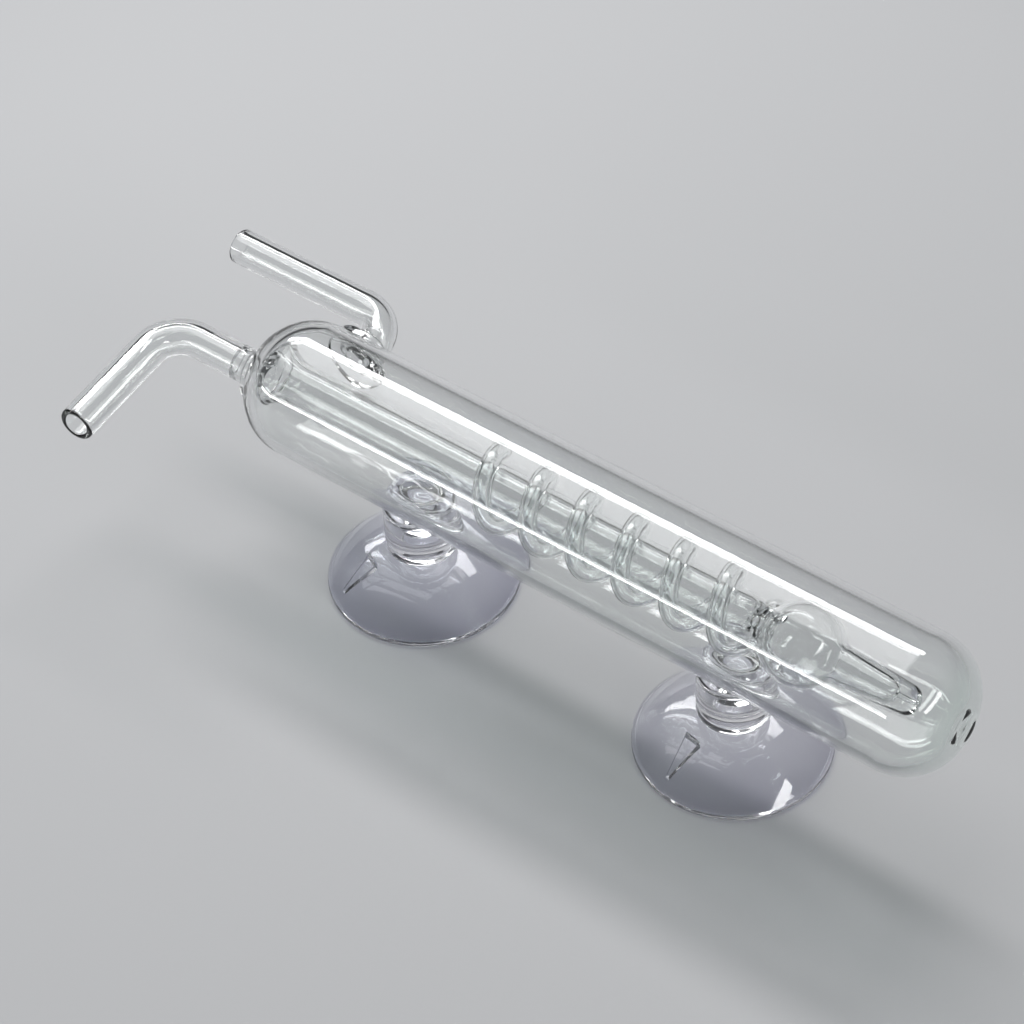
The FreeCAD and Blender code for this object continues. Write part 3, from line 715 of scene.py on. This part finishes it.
def routeCurve(name, legs, start, way, swing):
    # legs are ("run", length) or ("bend", radius, degrees); swing is the axis the bends turn about
    points, spot, heading = [start.copy()], start.copy(), way.copy()
    for leg in legs:
        if leg[0] == "run":
            count = max(1, round(leg[1] / 1.0))
            for index in range(count):
                spot = spot + heading * (leg[1] / count) * mm
                points.append(spot.copy())
        else:
            radius, degrees = leg[1], leg[2]
            inward = swing.cross(heading)
            centre = spot + inward * radius * mm
            count = round(degrees / 3)
            for index in range(1, count + 1):
                twist = Matrix.Rotation(radians(degrees) * index / count, 3, swing)
                points.append(centre + twist @ (spot - centre))
            heading = Matrix.Rotation(radians(degrees), 3, swing) @ heading
            spot = points[-1].copy()
    data = bpy.data.curves.new(name, "CURVE")
    data.dimensions = "3D"
    spline = data.splines.new("POLY")
    spline.points.add(len(points) - 1)
    for point, place in zip(spline.points, points):
        point.co = (*place, 1)
    curve = bpy.data.objects.new(name, data)
    bpy.context.scene.collection.objects.link(curve)
    length = sum((b - a).length for a, b in zip(points, points[1:])) / mm
    return curve, length


def tubeBlank(name, radius, bore, length, lip, material, sides=64, step=0.6, swell=None):
    # straight tube standing on Z, square or swollen at the foot and fire-polished at the mouth
    foot = [(0, radius)] if swell is None else [(0, swell, tail["swellArc"], -1), (tail["swellLength"], radius)]
    mesh = turnedMesh(name, outline([
        (0, bore),
        *foot,
        (length - lip, radius, lip, 1),
        (length, radius - lip),
        (length, bore + lip, lip, 1),
        (length - lip, bore),
    ], step=0.12, longStep=step), sides, True)
    return newPiece(name, mesh, material)


def bentTube(name, node, legs, start, way, swing, seed, swell=None):
    route, length = routeCurve(f"{name}Route", legs, start, way, swing)
    piece = tubeBlank(name, tail["radius"], tail["bore"], length, tail["lip"], tubeGlass, swell=swell)
    bend = piece.modifiers.new("bend", "NODES")
    bend.node_group = bentTree
    for label, value in (("Route", route), ("Uneven", tail["uneven"]),
                         ("Uneven Scale", tail["unevenScale"]), ("Seed", seed), ("Material", tubeGlass)):
        setInput(bend, label, value)
    smooth(bakedMesh(piece))
    bpy.data.objects.remove(route)
    finishPiece(piece, node, "glass")


endFlare, sideFlare = flares[0][5] + airGap, flares[1][5] + airGap
bentTube("endHoseTail", "end_port_tube", [
    ("run", tail["endStub"] - chamber["portThick"] - endFlare),
    ("bend", tail["endBend"], tail["endAngle"]),
    ("run", tail["endLeg"]),
], endAxis + metres(chamber["portEnd"] - endFlare, 0, 0), -xWay, zWay, 3.0)
sideRise = tail["sideReach"] - tail["sideBend"] - chamber["radius"] - sideFlare
bentTube("sideHoseTail", "side_port_tube", [
    ("run", sideRise),
    ("bend", tail["sideBend"], 90),
    ("run", tail["sideLeg"]),
], sideFoot + metres(0, chamber["radius"] + sideFlare, 0), yWay, zWay, 7.0, tail["sideSwell"])
print("hose tails are bent and welded")


# inner tube, neck, bulb and nozzle
inner = {
    "radius": 4.0,
    "bore": 3.0,
    "sealFoot": 6.4,
    "sealWall": 1.2,
    "sealLength": 6.5,
    "sealHollow": 12.0,
    "end": 38.4,
    "endRound": 2.9,
    "endArc": 3.55,
    "endThick": 1.0,
    "collarBack": 0.2,
    "collar": 2.9,
    "collarArc": 1.1,
    "waistBore": 1.0,
}
bulb = {
    "middle": 46.7,
    "radius": 7.35,
    "wall": 0.8,
    "window": 5.85,
    "windowTilt": 37.0,
    "press": 0.12,
    "neck": 3.0,
    "rootOut": 4.5,
    "mouth": 3.6,
    "waistEase": 0.4,
    "waistArc": 0.9,
    "waistBack": 0.8,
}
nozzle = {
    "root": 3.5,
    "wall": 0.9,
    "tip": 2.6,
    "round": 2.1,
    "end": 69.0,
    "solid": 3.6,
    "taper": 2.0,
    "cavityEnd": 0.9,
    "cavitySlope": 0.3,
    "rootArc": 2.6,
    "rootLength": 2.0,
    "mouthLength": 1.8,
    "draw": 0.1,
    "orifice": 0.3,
}


def endSkin(out):
    # inside of the rounded port end, at a distance from the axis
    over = max(0, out - (insideOut - insideArc))
    return chamber["shoulder"] - sqrt(insideArc ** 2 - over ** 2) + airGap


innerStart = portInside + inner["sealLength"]
sealInside = inner["sealFoot"] - inner["sealWall"]
closing = inner["bore"] - inner["waistBore"]
insideEnd = inner["end"] - inner["endThick"]
ballInside = bulb["radius"] - bulb["wall"]
nozzleBore = nozzle["root"] - nozzle["wall"]
tipFrom = nozzle["end"] - nozzle["round"]
cavityStop = nozzle["end"] - nozzle["solid"]


def onBall(radius, out, side):
    return bulb["middle"] + side * sqrt(radius ** 2 - out ** 2), out


innerGlass = turnedOnTube("innerGlass", [
    # outside, from the ring seal to the nozzle's tip
    (endSkin(inner["sealFoot"]), inner["sealFoot"], inner["sealHollow"], -1),
    (innerStart, inner["radius"]),
    (inner["end"] - inner["endRound"], inner["radius"], inner["endArc"], 1),
    (inner["end"] - inner["collarBack"], inner["collar"], inner["collarArc"], -1),
    (*onBall(bulb["radius"], bulb["neck"], -1), bulb["radius"], 1),
    (bulb["middle"], bulb["radius"], bulb["radius"], 1),
    (*onBall(bulb["radius"], bulb["rootOut"], 1), nozzle["rootArc"], -1),
    (onBall(bulb["radius"], nozzle["root"], 1)[0] + nozzle["rootLength"], nozzle["root"] - nozzle["draw"]),
    (tipFrom, nozzle["tip"], nozzle["round"], 1),
    (nozzle["end"], nozzle["tip"] - nozzle["round"]),
    # inside, back to the ring seal
    (nozzle["end"], nozzle["orifice"]),
    (cavityStop, nozzle["orifice"]),
    (cavityStop - nozzle["cavitySlope"], nozzle["cavityEnd"]),
    (cavityStop - nozzle["taper"], nozzle["tip"] - nozzle["wall"]),
    (onBall(ballInside, nozzleBore, 1)[0] + nozzle["mouthLength"], nozzleBore - nozzle["draw"],
     nozzle["rootArc"], 1),
    (*onBall(ballInside, bulb["mouth"], 1), ballInside, -1),
    (bulb["middle"], ballInside, ballInside, -1),
    (*onBall(ballInside, inner["waistBore"] + bulb["waistEase"], -1), bulb["waistArc"], 1),
    (onBall(ballInside, inner["waistBore"], -1)[0] - bulb["waistBack"], inner["waistBore"]),
    (insideEnd, inner["waistBore"], closing, -1),
    (insideEnd - closing, inner["bore"]),
    (innerStart, inner["bore"], inner["sealHollow"] + inner["sealWall"], 1),
    (endSkin(sealInside), sealInside),
], workedGlass, sides=128, step=0.24, longStep=1.0, ease=0.1)
# the reading window is pressed flat, with a soft rim
ballCentre = tubeAxis + metres(bulb["middle"], 0, 0)
windowWay = Vector((0, -sin(radians(bulb["windowTilt"])), cos(radians(bulb["windowTilt"]))))
for vertex in innerGlass.data.vertices:
    offset = (vertex.co - ballCentre) / mm
    flat = bulb["window"] - (0 if offset.length > bulb["radius"] - bulb["wall"] / 2 else bulb["wall"])
    height = offset.dot(windowWay)
    over = height - flat + bulb["press"]
    if over > 0:
        pressed = flat - bulb["press"] * exp(-over / bulb["press"])
        vertex.co += windowWay * (pressed - height) * mm
finishPiece(innerGlass, ("ring_seal", "inner_tube", "waist_neck", "bulb", "nozzle"), "glass")
print("inner tube, neck, bulb and nozzle are made")


# spiral tube
coil = {
    "mean": 5.85,
    "tube": 1.65,
    "bore": 1.0,
    "pitch": 9.6,
    "firstCrest": -16.2,
    "lead": 50.0,
    "turns": 5.5,
    "turnIn": 80.0,
    "turnInRadius": 4.2,
    "lip": 0.3,
    "wander": 0.35,
    "seed": 4.0,
    "uneven": 0.12,
    "unevenScale": 160.0,
}


def coilTree():
    # winds a straight blank into a coil that rises along Z and turns in at its end
    tree = bpy.data.node_groups.new("windCoil", "GeometryNodeTree")
    face = tree.interface
    face.new_socket("Geometry", in_out="INPUT", socket_type="NodeSocketGeometry")
    for label in ("Turns", "Mean Radius", "Rise", "Turn In Share", "Turn In Scale", "Wander", "Seed",
                  "Uneven", "Uneven Scale"):
        face.new_socket(label, in_out="INPUT", socket_type="NodeSocketFloat")
    face.new_socket("Material", in_out="INPUT", socket_type="NodeSocketMaterial")
    face.new_socket("Geometry", in_out="OUTPUT", socket_type="NodeSocketGeometry")
    nodes, links = tree.nodes, tree.links
    given, out = nodes.new("NodeGroupInput"), nodes.new("NodeGroupOutput")
    spiral = nodes.new("GeometryNodeCurveSpiral")
    spiral.inputs["Resolution"].default_value = 120
    spiral.inputs["Reverse"].default_value = True
    links.new(given.outputs["Turns"], spiral.inputs["Rotations"])
    links.new(given.outputs["Mean Radius"], spiral.inputs["Start Radius"])
    links.new(given.outputs["Mean Radius"], spiral.inputs["End Radius"])
    links.new(given.outputs["Rise"], spiral.inputs["Height"])
    place = nodes.new("GeometryNodeInputPosition").outputs[0]
    split = nodes.new("ShaderNodeSeparateXYZ")
    links.new(place, split.inputs[0])
    along = nodes.new("GeometryNodeSplineParameter").outputs["Factor"]
    drawIn = spread(tree, along, given.outputs["Turn In Share"], 1.0, 1.0, given.outputs["Turn In Scale"])
    # no two loops of a hand-wound coil lie quite alike
    drift = nodes.new("ShaderNodeTexNoise")
    drift.noise_dimensions = "2D"
    drift.inputs["Scale"].default_value = 9.0
    drift.inputs["Detail"].default_value = 1.0
    stamp = nodes.new("ShaderNodeCombineXYZ")
    links.new(along, stamp.inputs["X"])
    links.new(given.outputs["Seed"], stamp.inputs["Y"])
    links.new(stamp.outputs[0], drift.inputs["Vector"])
    shade = nodes.new("FunctionNodeSeparateColor")
    links.new(drift.outputs["Color"], shade.inputs[0])
    sideways = mathNode(tree, "SUBTRACT", shade.outputs[0], 0.5)
    sideways = mathNode(tree, "MULTIPLY", sideways, given.outputs["Wander"])
    outwards = mathNode(tree, "MULTIPLY", shade.outputs[1], given.outputs["Wander"])
    grown = mathNode(tree, "DIVIDE", outwards, given.outputs["Mean Radius"])
    grown = mathNode(tree, "ADD", grown, drawIn)
    joined = nodes.new("ShaderNodeCombineXYZ")
    links.new(mathNode(tree, "MULTIPLY", split.outputs["X"], grown), joined.inputs["X"])
    links.new(mathNode(tree, "MULTIPLY", split.outputs["Y"], grown), joined.inputs["Y"])
    shifted = mathNode(tree, "ADD", split.outputs["Z"], mathNode(tree, "MULTIPLY", sideways, 2.0))
    links.new(shifted, joined.inputs["Z"])
    shape = nodes.new("GeometryNodeSetPosition")
    links.new(spiral.outputs[0], shape.inputs["Geometry"])
    links.new(joined.outputs[0], shape.inputs["Position"])
    links.new(layOn(tree, given.outputs["Geometry"], shape.outputs[0], given), out.inputs[0])
    return tree


coilSweep = coil["lead"] + coil["turns"] * 360 + coil["turnIn"]
coilTurns = coilSweep / 360
turnLength = sqrt((2 * pi * coil["mean"]) ** 2 + coil["pitch"] ** 2)
coilLength = turnLength * coilTurns
winding = tubeBlank("spiralTube", coil["tube"], coil["bore"], coilLength, coil["lip"], workedGlass,
                    sides=36, step=0.5)
wind = winding.modifiers.new("wind", "NODES")
wind.node_group = coilTree()
for label, value in (
    ("Turns", coilTurns),
    ("Mean Radius", coil["mean"] * mm),
    ("Rise", coil["pitch"] * coilTurns * mm),
    ("Turn In Share", 1 - coil["turnIn"] / coilSweep),
    ("Turn In Scale", coil["turnInRadius"] / coil["mean"]),
    ("Wander", coil["wander"] * mm),
    ("Seed", coil["seed"]),
    ("Uneven", coil["uneven"]),
    ("Uneven Scale", coil["unevenScale"]),
    ("Material", workedGlass),
):
    setInput(wind, label, value)
coilMesh = bakedMesh(winding)
coilStart = coil["firstCrest"] - coil["lead"] / 360 * coil["pitch"]
lead = radians(coil["lead"])
coilAcross = Vector((0, sin(lead), cos(lead)))
coilTurn = Matrix((coilAcross, Vector((0, -cos(lead), sin(lead))), xWay)).transposed()
coilMesh.transform(Matrix.Translation(tubeAxis + metres(coilStart, 0, 0)) @ coilTurn.to_4x4())
smooth(coilMesh)
finishPiece(winding, "spiral_tube", "glass")
finishPiece(copyOfNode("spiralWeld", "spiral_weld", weldGlass), "spiral_weld", "glass")
print("spiral tube is wound")


# suction cups
cup = {
    "radius": 17.5,
    "lipWidth": 1.3,
    "lipThick": 0.7,
    "shoulder": 9.1,
    "coneArc": 35.0,
    "hollowTop": 6.4,
    "hollowArc": 21.0,
    "ring": 6.4,
    "ringTop": 10.5,
    "groove": 6.0,
    "grooveTop": 11.1,
    "neck": 6.6,
    "neckTop": 18.8,
    "neckRound": 0.9,
    "socket": 3.35,
    "socketFloor": 12.9,
    "tabIn": 9.6,
    "tabOut": 15.6,
    "tabBroad": 3.2,
    "tabThin": 0.6,
    "tabTop": 8.9,
    "tabEnd": 3.6,
    "tabDeep": 2.0,
}


def makeCup(name, node, middle, tabWay, material):
    mesh = turnedMesh(name, outline([
        (cup["hollowTop"], 0, cup["hollowArc"], -1),
        (0, cup["radius"] - cup["lipWidth"]),
        (0, cup["radius"]),
        (cup["lipThick"], cup["radius"], cup["coneArc"], 1),
        (cup["shoulder"], cup["ring"]),
        (cup["ringTop"], cup["ring"]),
        (cup["ringTop"], cup["groove"]),
        (cup["grooveTop"], cup["groove"]),
        (cup["grooveTop"], cup["neck"]),
        (cup["neckTop"] - cup["neckRound"], cup["neck"], cup["neckRound"], 1),
        (cup["neckTop"], cup["neck"] - cup["neckRound"]),
        (cup["neckTop"], cup["socket"]),
        (cup["socketFloor"], cup["socket"]),
        (cup["socketFloor"], 0),
    ], closed=False, step=0.4, longStep=0.8, ease=0.18), 160, False)
    piece = newPiece(name, mesh, material)
    # the peel tab is a thin wedge that stands on the cone and runs down to the lip
    tabTops = [
        (cup["tabIn"], -cup["tabBroad"] / 2, cup["tabTop"]),
        (cup["tabOut"], -cup["tabThin"] / 2, cup["tabEnd"]),
        (cup["tabOut"], cup["tabThin"] / 2, cup["tabEnd"]),
        (cup["tabIn"], cup["tabBroad"] / 2, cup["tabTop"]),
    ]
    tabCorners = [(x * mm, y * mm, (z - cup["tabDeep"]) * mm) for x, y, z in tabTops]
    tabCorners += [(x * mm, y * mm, z * mm) for x, y, z in tabTops]
    tabFaces = [(3, 2, 1, 0), (4, 5, 6, 7), (0, 1, 5, 4), (1, 2, 6, 5), (2, 3, 7, 6), (3, 0, 4, 7)]
    tabMesh = bpy.data.meshes.new("tab")
    tabMesh.from_pydata(tabCorners, [], tabFaces)
    tabMesh.transform(Matrix.Rotation(radians(tabWay), 4, "Z"))
    carve(piece, newPiece("tab", tabMesh, material), "UNION")
    piece.data.transform(Matrix.Translation((middle.x, middle.y, 0)))
    finishPiece(piece, node, node.replace("_suction_cup", "_cup"))


portCupMiddle = (portCupLow + portCupHigh) / 2
nozzleCupMiddle = (nozzleCupLow + nozzleCupHigh) / 2
makeCup("portEndCup", "port_end_suction_cup", portCupMiddle, -118.0, blueCupPlastic)
makeCup("nozzleEndCup", "nozzle_end_suction_cup", nozzleCupMiddle, -101.0, cupPlastic)
print("suction cups are moulded")

# floor
floorMesh = bpy.data.meshes.new("floor")
floorHalf, floorDrop = 2.5, 0.05 * mm
floorCorners = [(-floorHalf, -floorHalf), (floorHalf, -floorHalf),
                (floorHalf, floorHalf), (-floorHalf, floorHalf)]
floorMesh.from_pydata([(x, y, -floorDrop) for x, y in floorCorners], [], [(0, 1, 2, 3)])
floorMaterial = bpy.data.materials.new("floor")
floorMaterial.use_nodes = True
floorShade = floorMaterial.node_tree.nodes["Principled BSDF"]
floorTree = floorMaterial.node_tree
# the floor's colour is painted pale near the object and near black further out: a painted pool of lamp light
# with painted shade round it
floorPlace = floorTree.nodes.new("ShaderNodeVectorMath")
floorPlace.operation = "LENGTH"
floorTree.links.new(floorTree.nodes.new("ShaderNodeTexCoord").outputs["Object"], floorPlace.inputs[0])
floorPaintedFalloff = floorTree.nodes.new("ShaderNodeMix")
floorPaintedFalloff.data_type = "RGBA"
paintedFalloffFrom, paintedFalloffTo = 0.16, 0.60  # metres out from the object
paintedFalloffShare = spread(floorTree, floorPlace.outputs["Value"], paintedFalloffFrom, paintedFalloffTo, 0.0, 1.0)
floorTree.links.new(paintedFalloffShare, floorPaintedFalloff.inputs["Factor"])
floorPaintedFalloff.inputs["A"].default_value = (0.37, 0.375, 0.385, 1)
floorPaintedFalloff.inputs["B"].default_value = (0.03, 0.03, 0.032, 1)
floorTree.links.new(floorPaintedFalloff.outputs["Result"], floorShade.inputs["Base Color"])
floorShade.inputs["Roughness"].default_value = 0.65
floor = newPiece("floor", floorMesh, floorMaterial)
